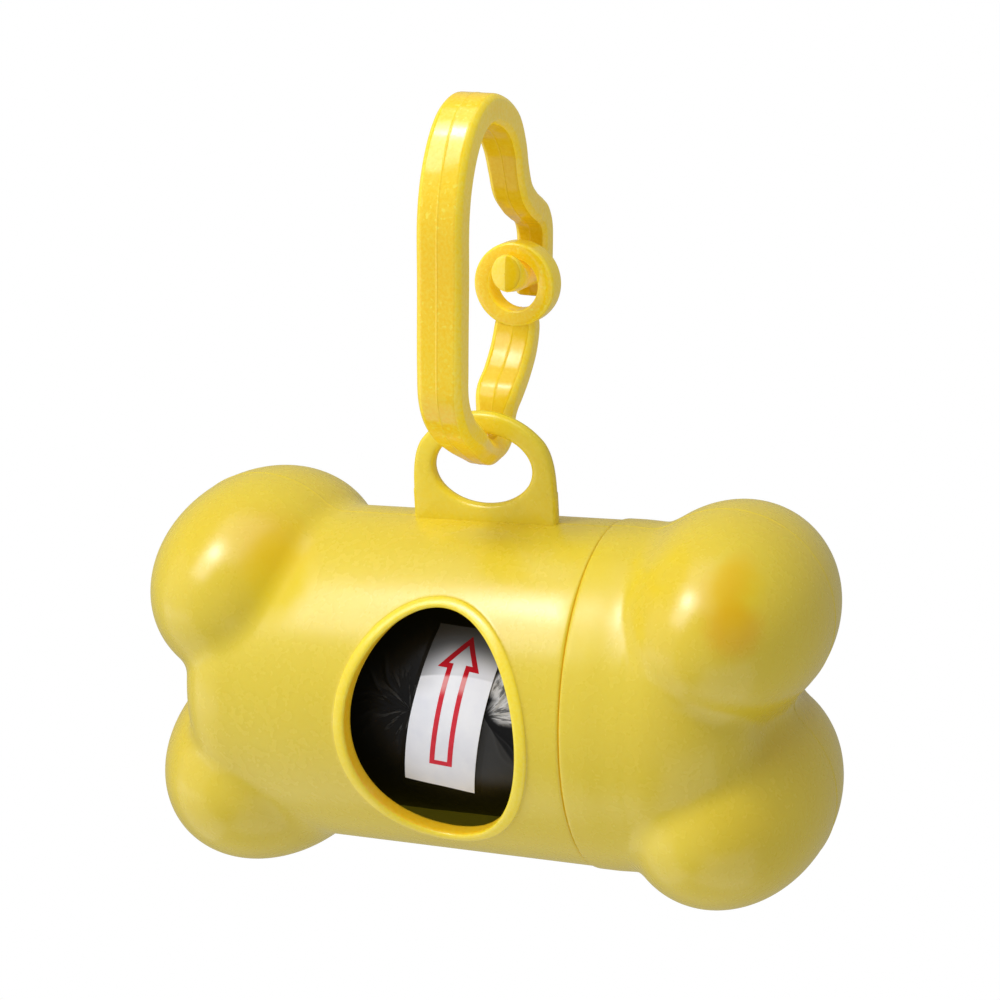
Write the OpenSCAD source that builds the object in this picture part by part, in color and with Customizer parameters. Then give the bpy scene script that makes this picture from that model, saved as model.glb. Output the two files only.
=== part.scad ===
// Bone-shaped dispenser for a roll of waste bags, hanging from a moulded clip.
// Millimetres. +Z is up, +X runs along the bone towards the end cap, and -Y is the front with the window.
// The pieces are drawn round the middle of the barrel, under the tab, and then moved so that the origin
// is the point inside the clip's arch where the clip hangs.

/* [Barrel] */
// Outer radius of the barrel
barrel_r = 21; // [20.7:0.1:24]
// Wall of the case and of the end cap
wall = 1.6; // [1.2:0.1:2]
// Distance from the tab's middle to the seam between case and cap
seam_x = 15.9; // [14.5:0.1:19]
// Distance from the tab's middle to the closed left end
left_end_x = 36.4; // [35:0.2:40]
// Distance from the tab's middle to the cap's closed end
cap_end_x = 35.9; // [35:0.2:40]
// Rounding where a closed end meets the barrel
end_round = 8; // [5:0.5:10]

/* [Bone lobes] */
// Distance from the tab's middle to the lobes of the case
left_lobe_x = 30.5; // [29:0.1:34]
// Height of the case's lobes above and below the barrel's axis
left_lobe_z = 11.5; // [10:0.1:13]
// Radius of the case's lobes seen from the front
left_lobe_r = 13.4; // [12:0.1:15]
// Distance from the tab's middle to the lobes of the cap
cap_lobe_x = 30.3; // [29:0.1:34]
// Height of the cap's lobes above and below the barrel's axis
cap_lobe_z = 10.9; // [10:0.1:13]
// Radius of the cap's lobes seen from the front
cap_lobe_r = 12.6; // [11.5:0.1:14.5]
// Half of the lobes' depth from front to back
lobe_depth = 20.1; // [18:0.1:22]

/* [Window] */
// Width of the window that the bags are pulled through
window_w = 21.4; // [16:0.2:24]
// Height of the window, seen from the front
window_h = 27.8; // [20:0.2:30]
// Height of the window's middle above the barrel's axis
window_z = 0.7; // [-1:0.1:2]
// Width of the raised rim round the window
rim_w = 1.4; // [0.8:0.1:2]
// How far the rim stands proud of the barrel
rim_h = 0.5; // [0.3:0.1:1]

/* [Hanging tab] */
// Width of the tab
tab_w = 18.5; // [17.5:0.1:22]
// Thickness of the tab
tab_t = 1.9; // [1.4:0.1:2.4]
// Radius of the tab's rounded top
tab_arch_r = 10.2; // [9.8:0.1:12]
// Web left above the tab's slot
tab_web = 2.6; // [2:0.1:4]
// Web left between the barrel and the tab's slot
tab_foot = 2; // [1.5:0.1:5]
// Width of the slot that the clip runs through
slot_w = 12.8; // [12:0.1:13.6]
// Height of that slot
slot_h = 8.9; // [8.8:0.1:11]

/* [Neck and cap] */
// Length of the neck that the cap goes over
neck_len = 8; // [5:0.5:10]
// Wall of the neck
neck_wall = 1.2; // [1:0.1:1.3]
// Height of the neck's thread ridges
thread_h = 0.7; // [0.5:0.1:0.9]
// Width of the neck's thread ridges
thread_w = 1.4; // [1:0.1:2]
// Rise of the thread in one turn
thread_lead = 9; // [6:0.5:12]
// Clearance between the thread's crest and the cap
cap_fit = 0.3; // [0.2:0.05:0.5]
// Gap at the seam between the case and the cap
seam_gap = 0.25; // [0.15:0.05:0.5]
// Length of the cap's plain collar
collar_len = 6.4; // [4:0.2:8]
// How far the collar stands proud of the barrel
collar_h = 0.2; // [0:0.05:0.5]

/* [Bag roll] */
// Room between the new roll and the neck's bore
roll_gap = 0.7; // [0.4:0.1:3]
// Length of the roll
roll_len = 62; // [52:1:66]
// Outer radius of the roll's core
core_r = 5.5; // [4.5:0.1:8]
// Wall of the core
core_wall = 0.9; // [0.5:0.1:1.5]
// Clearance under the roll where it lies in the neck
roll_fit = 0.3; // [0.2:0.05:0.6]
// Width of the paper label on the roll
label_w = 9; // [6:0.5:14]
// Thickness of the paper label
label_t = 0.15; // [0.1:0.01:0.3]
// How far the label leans out of square
label_lean = 12; // [0:1:15]
// Angle of the label's lower end, below the roll's front
label_low_angle = 30; // [20:1:60]
// Angle of the label's upper end, above the roll's front
label_high_angle = 45; // [30:1:80]
// Clearance between the roll, its core and its label
paper_fit = 0.05; // [0.02:0.01:0.1]

/* [Clip] */
// Width of the clip's bar
clip_w = 5.5; // [4.5:0.1:6]
// Thickness of the clip's bar
clip_d = 3.5; // [2.8:0.1:4]
// Bevel along the edges of the bar
clip_bevel = 0.6; // [0.4:0.05:0.9]
// Width of the narrower bar that the tab hangs on
strap_w = 4.9; // [4:0.1:5]
// Thickness of that bar
strap_d = 3.2; // [2.7:0.1:3.3]
// Bevel along the edges of that bar
strap_bevel = 1.2; // [1.1:0.05:1.3]
// Width of the bar over the clip's nose
nose_w = 4.6; // [3.6:0.1:5]
// Thickness of the bar over the clip's nose
nose_d = 3.2; // [2.4:0.1:3.3]
// Clearance between the strap and the top of the tab's slot
strap_fit = 0.75; // [0.7:0.05:0.98]
// How far the clip leans towards the cap
clip_lean = 4; // [0:0.5:6]
// Distance of the clip's spine in front of the tab
spine_y = 12.4; // [11:0.1:14]
// Height of the clip's arch above the strap
arch_z = 41.1; // [40:0.1:48]
// Distance of the clip's nose behind the tab
nose_y = 16.8; // [16:0.1:19]

/* [Gate] */
// Distance of the gate's ring behind the tab
ring_y = 10.9; // [10.4:0.1:11.4]
// Height of the gate's ring above the strap
ring_z = 18.5; // [18:0.1:19]
// Outer radius of the gate's ring
ring_r = 5.2; // [5:0.1:5.6]
// Thickness of the ring
ring_t = 3.2; // [2.6:0.1:3.4]
// Width of the hole in the ring
ring_hole_w = 6.2; // [5.4:0.1:6.4]
// Height of the hole in the ring
ring_hole_h = 6.4; // [6.4:0.1:7]
// Radius of the peg that the ring hooks over
peg_r = 2; // [1.6:0.05:2.05]
// How far the peg rises towards its tip
peg_rise = 5; // [3:0.5:6]
// How far the peg reaches through in front of the ring
peg_proud = 2.7; // [1.5:0.1:3]
// Radius of the rounded root that the gate turns on
knuckle_r = 1.8; // [1.7:0.05:2.2]
// Clearance round that root and round the peg
gate_fit = 0.3; // [0.2:0.05:0.35]

/* [Hidden] */
$fn = 96;
yellow = [0.93, 0.80, 0.16];
clip_yellow = [0.96, 0.78, 0.10];
// Rings of the swept bars between two control points
spans = 4;
// Longer than any cut needs to be
through = 60;

// Heights above the barrel's axis, up to the bar that the tab hangs on
slot_z = barrel_r + tab_foot + slot_h / 2;
slot_top = slot_z + slot_h / 2;
tab_top = slot_top + tab_web;
pivot_z = slot_top - strap_fit - strap_d / 2;

// Radii from the cap's bore inwards
bore_r = barrel_r - wall;
neck_r = bore_r - cap_fit - thread_h;
neck_bore_r = neck_r - neck_wall;
neck_end_x = seam_x + neck_len;
roll_r = neck_bore_r - roll_gap;
cap_start_x = seam_x + seam_gap;
// The neck's root overlaps the barrel's wall by this much
neck_root = 2;
roll_z = roll_fit - roll_gap;

// Where the gate turns, seen in the clip's own plane from the strap
gate_y = 3.7;
gate_z = 1.5;
root_d = 2 * knuckle_r - 0.4;
peg_z = ring_z + ring_hole_h / 2 - gate_fit - peg_r / cos(peg_rise) - ring_t / 2 * tan(peg_rise);
peg_tip_y = ring_y - ring_t / 2 - peg_proud;

// Height of the nose's outward bend above the ring, and the drop to it from the arch
nose_bend_z = ring_z + ring_r + 3.6;
nose_drop = arch_z - nose_bend_z;
turn_bevel = (strap_bevel + clip_bevel) / 2;

// The clip's centre line from the gate's root round to the nose: [back, up, thickness, width, bevel]
frame_line = [
    [gate_y, gate_z, root_d, strap_w, strap_bevel],
    [2.2, 0.2, strap_d, strap_w, strap_bevel],
    [0, 0, strap_d, strap_w, strap_bevel],
    [-2.6, 1.1, strap_d, strap_w, strap_bevel],
    [-6, 3.1, clip_d, clip_w, strap_bevel],
    [-9.8, 5.6, clip_d, clip_w, turn_bevel],
    [-spine_y + 0.4, 8.8, clip_d, clip_w, clip_bevel],
    [-spine_y, 13, clip_d, clip_w, clip_bevel],
    [-spine_y, arch_z - 19, clip_d, clip_w, clip_bevel],
    [-spine_y, arch_z - 11, clip_d, clip_w, clip_bevel],
    [-spine_y + 1.5, arch_z - 5.6, clip_d, clip_w, clip_bevel],
    [-spine_y + 4.4, arch_z - 1.6, clip_d, clip_w, clip_bevel],
    [-spine_y + 8.2, arch_z, clip_d, clip_w, clip_bevel],
    [-spine_y + 12.4, arch_z - 0.6, clip_d, clip_w - 0.1, clip_bevel],
    [3.5, arch_z - nose_drop / 6, clip_d, clip_w - 0.3, clip_bevel],
    [5.9, arch_z - nose_drop * 0.37, nose_d, nose_w + 0.3, clip_bevel],
    [7.3, arch_z - nose_drop * 0.587, nose_d, nose_w, clip_bevel],
    [8.7, arch_z - nose_drop * 0.775, nose_d, nose_w, clip_bevel],
    [11.1, arch_z - nose_drop * 0.906, nose_d, nose_w, clip_bevel],
    [14.1, nose_bend_z, nose_d, nose_w, clip_bevel],
    [nose_y - 0.6, nose_bend_z - 1.8, nose_d, nose_w, clip_bevel],
    [nose_y, nose_bend_z - 4.7, nose_d, nose_w, clip_bevel],
    [nose_y, peg_z - peg_r - 0.8, nose_d, nose_w, clip_bevel]
];

// The gate's centre line from its root up to the ring
gate_line = [
    [gate_y, gate_z, root_d, strap_w, strap_bevel],
    [4.2, 3.8, strap_d, strap_w, strap_bevel],
    [5.2, 6, clip_d - 0.3, clip_w, turn_bevel],
    [7.6, 8, clip_d - 0.3, clip_w, clip_bevel],
    [9.8, 10.6, clip_d - 0.3, clip_w, clip_bevel],
    [ring_y, 13.6, ring_t - 0.3, clip_w, clip_bevel],
    [ring_y, ring_z - ring_r + 1.8, ring_t - 0.3, clip_w, clip_bevel]
];

// Where the clip hangs: on the inside of its arch
hang = [-spine_y + 8.2, arch_z - clip_d / 2];
origin = [hang[1] * sin(clip_lean), hang[0], pivot_z + hang[1] * cos(clip_lean)];

// One point of a smooth curve through four control points
function curve(a, b, c, d, t) =
    ((2 * b) + (c - a) * t + (2 * a - 5 * b + 4 * c - d) * t * t + (3 * b - a - 3 * c + d) * t * t * t) / 2;

// A smooth curve through every control point
function smooth(line) = let (last = len(line) - 1) concat(
    [for (i = [0:last - 1]) for (k = [0:spans - 1])
        curve(line[max(i - 1, 0)], line[i], line[i + 1], line[min(i + 2, last)], k / spans)],
    [line[last]]
);

// Direction of the centre line at one of its points
function heading(line, i) =
    let (d = line[min(i + 1, len(line) - 1)] - line[max(i - 1, 0)], n = norm([d[0], d[1]]))
    [d[0] / n, d[1] / n];

// The bar's bevelled section at one point of the centre line, square to it
function bar_ring(line, i) =
    let (p = line[i], h = heading(line, i), d = p[2] / 2, w = p[3] / 2, b = p[4])
    [for (c = [[w, d - b], [w - b, d], [b - w, d], [-w, d - b],
            [-w, b - d], [b - w, -d], [w - b, -d], [w, b - d]])
        [-c[0], p[0] - h[1] * c[1], p[1] + h[0] * c[1]]];

// A bevelled bar along a centre line in the clip's plane
module bar(line) {
    path = smooth(line);
    sides = 8;
    last = len(path) - 1;
    polyhedron(
        points = [for (i = [0:last]) for (p = bar_ring(path, i)) p],
        faces = concat(
            [[for (k = [0:sides - 1]) k]],
            [for (i = [0:last - 1]) for (k = [0:sides - 1]) for (half = [0, 1])
                let (a = i * sides + k, b = i * sides + (k + 1) % sides)
                half == 0 ? [a, a + sides, b] : [b, a + sides, b + sides]],
            [[for (k = [sides - 1:-1:0]) last * sides + k]]
        )
    );
}

// Moves the whole model to the hanging point
module placed() {
    translate(-origin) children();
}

// Puts a piece drawn in the clip's own plane onto the strap
module on_clip() {
    placed() translate([0, 0, pivot_z]) rotate([0, clip_lean, 0]) children();
}

// A cylinder along +X from one place to another
module along_x(r, from, to) {
    translate([from, 0, 0]) rotate([0, 90, 0]) cylinder(r = r, h = to - from);
}

// A cylinder along the bar's width, at a place in the clip's plane
module across_clip(r, y, z, w) {
    translate([-w / 2, y, z]) rotate([0, 90, 0]) cylinder(r = r, h = w);
}

// An upright oval prism that runs from front to back
module oval_through(w, h, z, from, to) {
    translate([0, to, z]) rotate([90, 0, 0]) linear_extrude(to - from) scale([w / 2, h / 2]) circle(1);
}

// A plug along +X, whose far end is closed and rounded
module rounded_plug(r, from, to, round) {
    rotate([0, 90, 0]) rotate_extrude() {
        translate([0, from]) square([r, to - from - round]);
        square_part = r - round;
        translate([0, from]) square([square_part, to - from]);
        intersection() {
            translate([square_part, to - round]) circle(round);
            translate([square_part, to - round]) square(round);
        }
    }
}

// The pair of lobes at one end of the bone, made smaller by the wall for their hollow
module lobes(x, z, r, inset) {
    for (side = [-1, 1])
        translate([x, 0, side * z]) scale([r - inset, lobe_depth - inset, r - inset]) sphere(1);
}

// One end of the bone along +X: a barrel with a rounded end and two lobes
module bone_end(from, to, x, z, r, inset) {
    rounded_plug(barrel_r - inset, from, to - inset, end_round - inset);
    lobes(x, z, r, inset);
}

// The raised rim round the window
module window_rim() {
    intersection() {
        along_x(barrel_r + rim_h, -window_w, seam_x - seam_gap);
        oval_through(window_w + 2 * rim_w, window_h + 2 * rim_w, window_z, -barrel_r - rim_h, -1);
    }
}

// A ridge of the neck's thread: a third of a turn, tipped by the thread's lead
module thread_ridge(turn) {
    tip = atan(thread_lead / (2 * PI * neck_r));
    arc = 80;
    ridge_x = seam_x + neck_len / 2;
    translate([ridge_x, 0, 0]) rotate([turn, 0, 0]) rotate([0, 0, tip]) rotate([0, 90, 0])
        rotate([0, 0, 90 - arc / 2]) rotate_extrude(angle = arc)
            polygon([[neck_r - 0.4, -thread_w / 2], [neck_r + thread_h, -thread_w / 5],
                [neck_r + thread_h, thread_w / 5], [neck_r - 0.4, thread_w / 2]]);
}

module case_body() {
    color(yellow) placed() difference() {
        union() {
            mirror([1, 0, 0])
                bone_end(-seam_x, left_end_x, left_lobe_x, left_lobe_z, left_lobe_r, 0);
            window_rim();
            along_x(neck_r, seam_x - neck_root, neck_end_x);
            for (turn = [0, 120, 240]) thread_ridge(turn);
        }
        mirror([1, 0, 0])
            bone_end(neck_root - seam_x, left_end_x, left_lobe_x, left_lobe_z, left_lobe_r, wall);
        along_x(neck_bore_r, -window_w, neck_end_x + 1);
        oval_through(window_w, window_h, window_z, -barrel_r - 2 * rim_h - 1, -1);
    }
}

module hanging_tab() {
    color(yellow) placed() difference() {
        translate([0, tab_t / 2, 0]) rotate([90, 0, 0]) linear_extrude(tab_t) intersection() {
            translate([0, tab_top - tab_arch_r]) union() {
                circle(tab_arch_r);
                translate([-tab_arch_r, -through]) square([2 * tab_arch_r, through]);
            }
            translate([-tab_w / 2, barrel_r - 1]) square([tab_w, tab_top]);
        }
        oval_through(slot_w, slot_h, slot_z, -tab_t, tab_t);
        along_x(barrel_r, -through, through);
    }
}

module end_cap() {
    color(yellow) placed() difference() {
        union() {
            bone_end(cap_start_x, cap_end_x, cap_lobe_x, cap_lobe_z, cap_lobe_r, 0);
            along_x(barrel_r + collar_h, cap_start_x, cap_start_x + collar_len);
        }
        bone_end(cap_start_x - 1, cap_end_x, cap_lobe_x, cap_lobe_z, cap_lobe_r, wall);
    }
}

module bag_roll() {
    color([0.05, 0.05, 0.055]) placed() translate([0, 0, roll_z]) difference() {
        along_x(roll_r, -roll_len / 2, roll_len / 2);
        along_x(core_r + paper_fit, -roll_len, roll_len);
    }
}

module roll_core() {
    color([0.62, 0.48, 0.33]) placed() translate([0, 0, roll_z]) difference() {
        along_x(core_r, -roll_len / 2, roll_len / 2);
        along_x(core_r - core_wall, -roll_len, roll_len);
    }
}

// A strip of paper on the front of the roll, between its lower and upper end
module paper_label() {
    inner = roll_r + paper_fit;
    color([0.93, 0.93, 0.94]) placed() translate([0, 0, roll_z]) difference() {
        intersection() {
            along_x(inner + label_t, -roll_len / 2, roll_len / 2);
            rotate([0, label_lean, 0]) cube([label_w * cos(label_lean), 2 * roll_len, 2 * roll_len], center = true);
            rotate([90, 0, 90]) translate([0, 0, -roll_len]) linear_extrude(2 * roll_len)
                polygon([[0, 0], for (a = [-label_low_angle, label_high_angle]) 2 * roll_r * [-cos(a), sin(a)]]);
        }
        along_x(inner, -roll_len, roll_len);
    }
}

module clip_frame() {
    color(clip_yellow) on_clip() difference() {
        union() {
            bar(frame_line);
            translate([0, ring_y, peg_z]) rotate([90 - peg_rise, 0, 0]) {
                translate([0, 0, ring_y - nose_y]) cylinder(r = peg_r, h = nose_y - peg_tip_y - peg_r);
                translate([0, 0, ring_y - peg_tip_y - peg_r]) sphere(peg_r);
            }
        }
        across_clip(knuckle_r + gate_fit, gate_y, gate_z, 2 * clip_w);
    }
}

module clip_gate() {
    color(clip_yellow) on_clip() difference() {
        union() {
            bar(gate_line);
            across_clip(knuckle_r, gate_y, gate_z, strap_w - 0.3);
            translate([0, ring_y + ring_t / 2, ring_z]) rotate([90, 0, 0]) cylinder(r = ring_r, h = ring_t);
        }
        oval_through(ring_hole_w, ring_hole_h, ring_z, ring_y - ring_t, ring_y + ring_t);
    }
}

clip_frame();
clip_gate();
case_body();
hanging_tab();
end_cap();
bag_roll();
roll_core();
paper_label();
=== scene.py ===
import math

import bmesh
import bpy
import numpy as np
from mathutils import Matrix, Vector


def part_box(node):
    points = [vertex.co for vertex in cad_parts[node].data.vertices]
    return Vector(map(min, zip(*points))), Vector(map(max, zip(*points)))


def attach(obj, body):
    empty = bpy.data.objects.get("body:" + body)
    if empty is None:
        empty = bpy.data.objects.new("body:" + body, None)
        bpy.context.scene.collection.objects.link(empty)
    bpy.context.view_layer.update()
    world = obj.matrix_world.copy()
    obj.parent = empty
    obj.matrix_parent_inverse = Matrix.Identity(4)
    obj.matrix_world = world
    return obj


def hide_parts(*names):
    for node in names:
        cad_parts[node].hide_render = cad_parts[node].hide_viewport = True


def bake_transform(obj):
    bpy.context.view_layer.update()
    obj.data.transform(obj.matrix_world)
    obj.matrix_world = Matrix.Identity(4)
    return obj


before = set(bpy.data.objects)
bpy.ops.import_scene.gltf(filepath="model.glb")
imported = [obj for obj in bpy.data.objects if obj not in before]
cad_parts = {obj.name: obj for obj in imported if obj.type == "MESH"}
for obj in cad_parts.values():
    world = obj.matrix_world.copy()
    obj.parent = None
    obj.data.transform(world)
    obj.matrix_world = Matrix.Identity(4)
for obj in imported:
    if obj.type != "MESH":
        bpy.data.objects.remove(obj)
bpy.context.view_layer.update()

# Sizes in millimetres. The drawing's zero point is the middle of the barrel, under the hanging tab.
# +X runs towards the end cap, -Y is the front with the window and +Z is up.
BARREL_R = 21.0
WALL = 1.6
SEAM_X = 15.9
CAP_START_X = 16.03
LEFT_END_X = 35.2
CAP_END_X = 35.9
LEFT_END_ROUND = 8.0
CAP_END_ROUND = 11.0
LOBE_DEPTH = 20.1
LOWER_DEPTH = 20.9
LEFT_LOBE = (30.5, 11.5, 13.33)
CAP_LOBE = (30.3, 10.9, 12.53)
LOBE_BLEND = 4.0
BARREL_BLEND = 1.3
UPPER_RISE = 0.7
UPPER_GROWTH = -0.1
UPPER_SLIM = 0.3
COLLAR_R = 21.2
COLLAR_FADE_X = 18.2
COLLAR_END_X = 22.55
COLLAR_TAIL = 1.0
COLLAR_SINK = 0.04
COLLAR_BLEND = 0.2
NECK_R = 18.4
NECK_BORE_R = 17.2
NECK_END_X = 23.9
NECK_STEP_X = 13.9
PARTING_H = 0.06
# Rays from this point of the axis, on either side of the middle, find the surface of the bone's ends
RAYS_X = 28.0

WINDOW_W = 21.4
WINDOW_H = 27.8
WINDOW_Z = 0.7
PATCH_X = 13.2
PATCH_ANGLE = 57.6
# The window's rim: (distance from the opening, height above the barrel), from its foot to its inner edge
RIM_BEAD = [
    (1.75, 0.0), (1.58, 0.01), (1.48, 0.05), (1.41, 0.15), (1.35, 0.28), (1.24, 0.38), (1.05, 0.44),
    (0.8, 0.48), (0.5, 0.5), (0.25, 0.48), (0.1, 0.41), (0.03, 0.3), (0.0, 0.12),
]

TAB_HALF = 9.25
TAB_T = 1.9
TAB_TOP = 34.5
TAB_ARCH_R = 10.2
SLOT_Z = 27.45
SLOT_W = 12.8
SLOT_H = 8.9
TAB_FOOT_Z = 20.2
TAB_BLEND = 1.8

ROLL_R = 16.5
ROLL_HALF = 31.0
ROLL_Z = -0.4
FILM_GAP = 0.02
FILM_SINK = 0.32
CORE_R = 5.5
CORE_GAP = 0.05
CORE_WALL = 0.9
LABEL_LIFT = 0.06
LABEL_T = 0.1
PRINT_T = 0.04
ARROW_STROKE = 0.62

PIVOT_Z = 29.55
CLIP_LEAN = math.radians(4)
CLIP_STEPS = 12
GATE_CUT = 1.2
CORNER_CUT = 0.3

# The clip's centre line: [back, up, thickness, width, bevel]. Back and up are 0 at the strap's middle.
NOSE_LINE = [
    [16.73, 16.6, 3.1, 4.1, 0.5],
    [16.73, 22.6, 3.1, 4.1, 0.5],
    [16.35, 25.0, 3.1, 4.2, 0.5],
    [15.2, 26.6, 3.2, 4.2, 0.5],
    [14.0, 27.2, 3.2, 4.2, 0.5],
    [13.6, 27.4, 3.2, 4.6, 0.6],
    [12.6, 27.85, 3.2, 4.6, 0.6],
    [11.1, 28.6, 3.2, 4.6, 0.6],
    [8.7, 30.4, 3.2, 4.6, 0.6],
    [7.3, 33.0, 3.2, 4.6, 0.6],
    [5.9, 36.0, 3.2, 4.9, 0.6],
    [3.5, 38.8, 3.5, 5.2, 0.6],
    [0.0, 40.5, 3.5, 5.4, 0.6],
    [-4.2, 41.1, 3.5, 5.5, 0.6],
    [-8.0, 39.5, 3.5, 5.5, 0.6],
    [-10.9, 35.5, 3.5, 5.5, 0.6],
    [-12.4, 30.1, 3.5, 5.5, 0.6],
    [-12.4, 22.1, 3.5, 5.5, 0.6],
    [-12.4, 13.0, 3.5, 5.5, 0.6],
    [-12.0, 8.8, 3.5, 5.5, 0.7],
    [-9.8, 5.6, 3.5, 5.5, 0.8],
    [-6.0, 3.1, 3.5, 5.5, 1.0],
    [-2.6, 1.1, 3.2, 4.9, 1.2],
    [0.0, 0.0, 3.2, 4.9, 1.2],
]
GATE_LINE = [
    [2.2, 0.2, 3.2, 4.9, 1.2],
    [3.7, 1.5, 3.2, 4.9, 1.1],
    [4.2, 3.8, 3.2, 4.9, 0.9],
    [5.2, 6.0, 3.2, 5.5, 0.6],
    [7.6, 8.0, 3.2, 5.5, 0.6],
    [9.8, 10.6, 3.2, 5.5, 0.6],
    [10.9, 13.2, 3.0, 5.4, 0.6],
    [10.9, 14.6, 2.9, 5.0, 0.6],
]
RING_Y = 10.9
RING_Z = 18.65
RING_R = 5.2
RING_T = 3.2
RING_HOLE_W = 6.2
RING_HOLE_H = 6.4
PEG_DOME = 0.25
PEG_RIDGE = 0.12
# The peg: [back, lowest point, highest point, half of its width], from the nose to its lipped tip
PEG_LINE = [
    [17.0, 17.7, 21.4, 2.0],
    [13.0, 17.8, 21.5, 2.0],
    [9.6, 17.9, 21.6, 2.0],
    [9.2, 17.9, 21.65, 2.0],
    [8.8, 17.95, 22.0, 2.02],
    [8.3, 18.0, 22.3, 2.04],
    [7.8, 18.1, 22.6, 2.04],
    [7.3, 18.15, 22.75, 2.0],
    [7.0, 18.25, 22.7, 1.94],
    [6.85, 18.35, 22.6, 1.85],
]

# Moulded plastics: light, deep and speck tone, grain, roughness, softness, gloss, flakes and painted
# glow
# One plastic throughout: the tab and rim are painted lighter than the case as painted light; the rim's
# cut wall is deeper gold under a stronger painted glow; the clip's edge, side and inner tones are its
# face tone painted lighter or deeper by face, as painted light and painted shade
YELLOWS = {
    "case_yellow": ((234, 209, 50), (230, 203, 45), (240, 224, 100), 0.12, 0.27, 0.1, 0.8, 0, 0),
    "tab_painted_light_yellow": ((242, 218, 44), (238, 211, 38), (246, 232, 104), 0.2, 0.26, 0.15, 0.7, 0, 0.05),
    "rim_painted_light_yellow": ((246, 220, 44), (242, 212, 36), (250, 236, 120), 0.25, 0.24, 0.2, 0.65, 0, 0.08),
    "rim_wall_painted_glow_gold": ((246, 200, 20), (240, 186, 14), (250, 228, 90), 0.25, 0.3, 0.2, 0.5, 0, 0.12),
    "clip_face_gold": ((251, 212, 10), (247, 198, 4), (253, 236, 90), 0.3, 0.15, 0.2, 0.75, 0.7, 0.07),
    "clip_edge_painted_light": ((252, 220, 34), (248, 211, 24), (252, 238, 120), 0.3, 0.2, 0.2, 0.6, 0, 0.13),
    "clip_inner_painted_shade": ((238, 200, 6), (228, 184, 2), (246, 224, 70), 0.25, 0.17, 0.1, 0.4, 0, 0.05),
    "clip_side_painted_light": ((246, 218, 66), (240, 208, 52), (246, 232, 130), 0.3, 0.22, 0.25, 0.6, 0, 0.16),
}

# The photograph's camera: turn to the right, rise and roll in degrees, its place, and its lens
CAMERA_ANGLES = (22.52, 15.46, -3.13)
CAMERA_PLACE = [91.68, -216.57, 88.37]
CAMERA_LENS = 72.35
# Lights: name, compass angle and height in degrees, distance, width and height in metres, and watts
LIGHTS = [
    ("key", -36, 57, 0.5, 0.22, 0.34, 0.86),
    ("key_core", -40, 66, 0.5, 0.08, 0.08, 0.32),
    ("top", 0, 85, 0.7, 0.6, 0.6, 1.35),
    ("left", -60, 12, 0.9, 1.0, 1.0, 1.65),
    ("low_left", -60, -35, 0.9, 1.0, 1.0, 1.8),
    ("front", 0, 5, 0.9, 1.0, 1.0, 0.6),
    ("low_right", 50, -45, 0.9, 1.0, 1.0, 1.65),
    ("bottom", 0, -80, 0.9, 1.2, 1.2, 0.7),
]

tab_low, tab_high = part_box("hanging_tab")
cap_low, cap_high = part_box("end_cap")
MIDDLE = np.array(
    [(tab_low.x + tab_high.x) / 2, (tab_low.y + tab_high.y) / 2, (cap_low.z + cap_high.z) / 2]
)


# Points and meshes


def place(points):
    """Millimetres from the drawing's zero point to metres in the frame's own axes."""
    return MIDDLE + np.asarray(points, float) / 1000.0


def on_clip(points):
    """Points measured from the strap (across, back, up) to millimetres from the drawing's zero point."""
    p = np.asarray(points, float)
    c, s = math.cos(CLIP_LEAN), math.sin(CLIP_LEAN)
    x = p[..., 0] * c + p[..., 2] * s
    z = PIVOT_Z + p[..., 2] * c - p[..., 0] * s
    return np.stack([x, p[..., 1], z], -1)


class Shell:
    """Collects grids of points and their faces, and makes one welded mesh of them."""

    def __init__(self):
        self.points = []
        self.faces = []
        self.tints = []
        self.count = 0

    def grid(self, p, round_rows=False, round_cols=True, tint=0):
        """Adds rows of points with faces between them. The tint is the number of their material."""
        p = np.asarray(p, float)
        rows, cols = p.shape[:2]
        ids = np.arange(rows * cols).reshape(rows, cols) + self.count
        self.points.append(p.reshape(-1, 3))
        self.count += rows * cols
        if round_rows:
            ids = np.vstack([ids, ids[:1]])
        if round_cols:
            ids = np.hstack([ids, ids[:, :1]])
        a, b, c, d = ids[:-1, :-1], ids[:-1, 1:], ids[1:, 1:], ids[1:, :-1]
        quads = np.stack([a, b, c, d], -1).reshape(-1, 4)
        self.faces.extend(quads.tolist())
        self.tints.extend([tint] * len(quads))

    def lid(self, loop):
        """Adds one flat face over a loop of points."""
        loop = np.asarray(loop, float)
        self.faces.append(list(range(self.count, self.count + len(loop))))
        self.tints.append(0)
        self.points.append(loop)
        self.count += len(loop)

    def object(self, name, *materials, crease=None):
        """The welded object. Edges sharper than the crease angle, in degrees, are shaded as edges."""
        mesh = bpy.data.meshes.new(name)
        mesh.from_pydata(place(np.vstack(self.points)).tolist(), [], self.faces)
        mesh.polygons.foreach_set("material_index", self.tints)
        thing = bpy.data.objects.new(name, mesh)
        bpy.context.scene.collection.objects.link(thing)
        weld(mesh)
        for material in materials:
            mesh.materials.append(material)
        mesh.shade_smooth()
        if crease is not None:
            mesh.set_sharp_from_angle(angle=math.radians(crease))
        return thing


def weld(mesh, reach=2e-6):
    """Joins points that coincide and turns all faces outwards."""
    work = bmesh.new()
    work.from_mesh(mesh)
    bmesh.ops.remove_doubles(work, verts=work.verts, dist=reach)
    bmesh.ops.dissolve_degenerate(work, edges=work.edges, dist=reach / 4)
    bmesh.ops.recalc_face_normals(work, faces=work.faces)
    work.to_mesh(mesh)
    work.free()


def soft_min(a, b, k):
    """The smaller of two values, rounded over where they differ by less than k."""
    h = np.clip(0.5 + 0.5 * (b - a) / k, 0, 1)
    return b * (1 - h) + a * h - k * h * (1 - h)


def soft_max(a, b, k):
    """The larger of two values, rounded over in the same way."""
    return -soft_min(-a, -b, k)


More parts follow.
